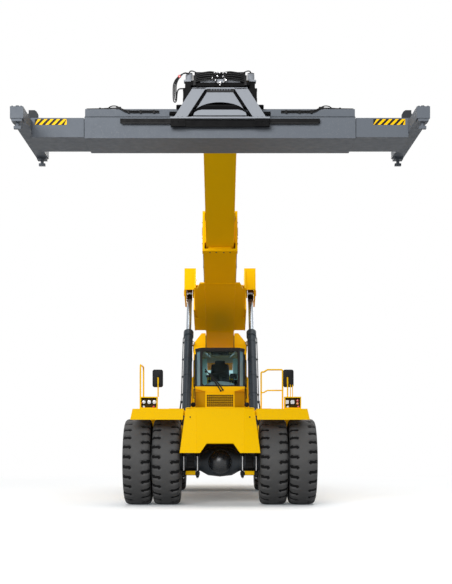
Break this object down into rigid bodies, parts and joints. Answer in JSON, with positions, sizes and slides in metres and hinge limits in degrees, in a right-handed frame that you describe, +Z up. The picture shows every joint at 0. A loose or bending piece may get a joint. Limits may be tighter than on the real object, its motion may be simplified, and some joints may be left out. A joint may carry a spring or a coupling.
{
  "type": "reach stacker",
  "caption": "Container reach stacker: wheeled carrier with cab, telescopic lifting boom and a slewing telescopic top spreader.",
  "frame": {"origin": "on the ground at the centre of the overall box", "axes": "+Z up, the machine faces -Y, +X to the machine's left"},
  "size_m": [6.04, 16.9184, 7.6902],
  "materials": {
    "yellow_paint": "semi-gloss",
    "dark_paint": "semi-gloss",
    "grey_paint": "satin",
    "cab_grey": "satin",
    "engine_grey": "matte",
    "tyre_rubber": "matte",
    "tinted_glass": "gloss",
    "black_plastic": "matte",
    "seat_fabric": "matte",
    "hard_chrome": "polished"
  },
  "bodies": {
    "chassis": {"chassis_frame": "yellow_paint", "front_fascia": "yellow_paint", "front_axle": "dark_paint", "axle_clamps": "dark_paint", "steer_axle": "dark_paint", "lamp_boxes": "yellow_paint", "handrails": "yellow_paint", "mirrors": "black_plastic", "access_ladders": "yellow_paint", "fuel_tank": "yellow_paint", "hydraulic_tank": "yellow_paint", "engine_block": "engine_grey", "cooler_hood": "yellow_paint", "counterweight": "yellow_paint", "cab_base": "yellow_paint", "cab_shell": "cab_grey", "cab_glass": "tinted_glass", "operator_seat": "seat_fabric", "console": "black_plastic", "deck_left": "yellow_paint", "deck_right": "yellow_paint"},
    "boom": {"boom_base": "yellow_paint"},
    "boom_extension": {"boom_inner": "yellow_paint"},
    "yoke": {"head_yoke": "grey_paint"},
    "turret": {"turret": "grey_paint"},
    "spreader": {"spreader_frame": "grey_paint"},
    "front_wheels_left": {"front_tyres_left": "tyre_rubber", "front_rims_left": "dark_paint"},
    "knuckle_left": {"knuckle_left": "dark_paint"},
    "rear_wheel_left": {"rear_tyre_left": "tyre_rubber", "rear_rim_left": "dark_paint"},
    "cab_door_left": {"cab_door_left": "cab_grey", "door_glass_left": "tinted_glass"},
    "service_door_left": {"service_door_left": "yellow_paint"},
    "lift_barrel_left": {"lift_barrel_left": "dark_paint"},
    "lift_rod_left": {"lift_rod_left": "hard_chrome"},
    "spreader_beam_left": {"spreader_beam_left": "grey_paint"},
    "front_wheels_right": {"front_tyres_right": "tyre_rubber", "front_rims_right": "dark_paint"},
    "knuckle_right": {"knuckle_right": "dark_paint"},
    "rear_wheel_right": {"rear_tyre_right": "tyre_rubber", "rear_rim_right": "dark_paint"},
    "cab_door_right": {"cab_door_right": "cab_grey", "door_glass_right": "tinted_glass"},
    "service_door_right": {"service_door_right": "yellow_paint"},
    "lift_barrel_right": {"lift_barrel_right": "dark_paint"},
    "lift_rod_right": {"lift_rod_right": "hard_chrome"},
    "spreader_beam_right": {"spreader_beam_right": "grey_paint"}
  },
  "joints": [
    {"name": "boom_lift", "type": "hinge", "parent": "chassis", "child": "boom", "pos_m": [0, 6.9, 3.95], "axis": [-1, 0, 0], "range_deg": [-12.2, 42.3]},
    {"name": "boom_extend", "type": "slide", "parent": "boom", "child": "boom_extension", "axis": [0, 0.9627, -0.2706], "range_m": [-0.9, 5]},
    {"name": "spreader_level", "type": "hinge", "parent": "boom_extension", "child": "yoke", "pos_m": [0, -7.2392, 6.90014], "axis": [-1, 0, 0], "range_deg": [-42.3, 12.2]},
    {"name": "spreader_slew", "type": "hinge", "parent": "yoke", "child": "turret", "pos_m": [0, -7.2392, 6.57014], "axis": [0, 0, -1], "range_deg": [-105, 195]},
    {"name": "side_shift", "type": "slide", "parent": "turret", "child": "spreader", "axis": [1, 0, 0], "range_m": [-0.8, 0.8]},
    {"name": "front_roll_left", "type": "hinge", "parent": "chassis", "child": "front_wheels_left", "pos_m": [1.464, 0, 0.935], "axis": [1, 0, 0], "continuous": true},
    {"name": "steer_left", "type": "hinge", "parent": "chassis", "child": "knuckle_left", "pos_m": [1.01, 6, 0.935], "axis": [0, 0, 1], "range_deg": [-45, 45]},
    {"name": "rear_roll_left", "type": "hinge", "parent": "knuckle_left", "child": "rear_wheel_left", "pos_m": [1.22, 6, 0.935], "axis": [1, 0, 0], "continuous": true},
    {"name": "cab_door_left", "type": "hinge", "parent": "chassis", "child": "cab_door_left", "pos_m": [0.63, 4.4, 2.32], "axis": [0, 0, 1], "range_deg": [0, 90]},
    {"name": "service_door_left", "type": "hinge", "parent": "chassis", "child": "service_door_left", "pos_m": [0.78, 5.7, 2.19], "axis": [0, 0, 1], "range_deg": [0, 90]},
    {"name": "lift_barrel_left", "type": "hinge", "parent": "chassis", "child": "lift_barrel_left", "pos_m": [0.78, 1.1, 1.6], "axis": [1, 0, 0], "range_deg": [-2, 2]},
    {"name": "lift_rod_left", "type": "slide", "parent": "lift_barrel_left", "child": "lift_rod_left", "axis": [0, 0.677, 0.7359], "range_m": [-0.62, 2.05]},
    {"name": "spreader_extend_left", "type": "slide", "parent": "spreader", "child": "spreader_beam_left", "axis": [1, 0, 0], "range_m": [0, 3.05]},
    {"name": "front_roll_right", "type": "hinge", "parent": "chassis", "child": "front_wheels_right", "pos_m": [-1.464, 0, 0.935], "axis": [1, 0, 0], "continuous": true},
    {"name": "steer_right", "type": "hinge", "parent": "chassis", "child": "knuckle_right", "pos_m": [-1.01, 6, 0.935], "axis": [0, 0, 1], "range_deg": [-45, 45]},
    {"name": "rear_roll_right", "type": "hinge", "parent": "knuckle_right", "child": "rear_wheel_right", "pos_m": [-1.22, 6, 0.935], "axis": [1, 0, 0], "continuous": true},
    {"name": "cab_door_right", "type": "hinge", "parent": "chassis", "child": "cab_door_right", "pos_m": [-0.63, 4.4, 2.32], "axis": [0, 0, -1], "range_deg": [0, 90]},
    {"name": "service_door_right", "type": "hinge", "parent": "chassis", "child": "service_door_right", "pos_m": [-0.78, 5.7, 2.19], "axis": [0, 0, -1], "range_deg": [0, 90]},
    {"name": "lift_barrel_right", "type": "hinge", "parent": "chassis", "child": "lift_barrel_right", "pos_m": [-0.78, 1.1, 1.6], "axis": [1, 0, 0], "range_deg": [-2, 2]},
    {"name": "lift_rod_right", "type": "slide", "parent": "lift_barrel_right", "child": "lift_rod_right", "axis": [0, 0.677, 0.7359], "range_m": [-0.62, 2.05]},
    {"name": "spreader_extend_right", "type": "slide", "parent": "spreader", "child": "spreader_beam_right", "axis": [-1, 0, 0], "range_m": [0, 3.05]}
  ],
  "couplings": [
    {"joint": "spreader_level", "follows": "boom_lift", "ratio": -1},
    {"joint": "lift_barrel_left", "follows": "boom_lift", "ratio": 0.02},
    {"joint": "lift_rod_left", "follows": "boom_lift", "m_per_rad": 2.69},
    {"joint": "lift_barrel_right", "follows": "boom_lift", "ratio": 0.02},
    {"joint": "lift_rod_right", "follows": "boom_lift", "m_per_rad": 2.69},
    {"joint": "steer_right", "follows": "steer_left", "ratio": 1},
    {"joint": "spreader_extend_right", "follows": "spreader_extend_left", "ratio": 1}
  ]
}
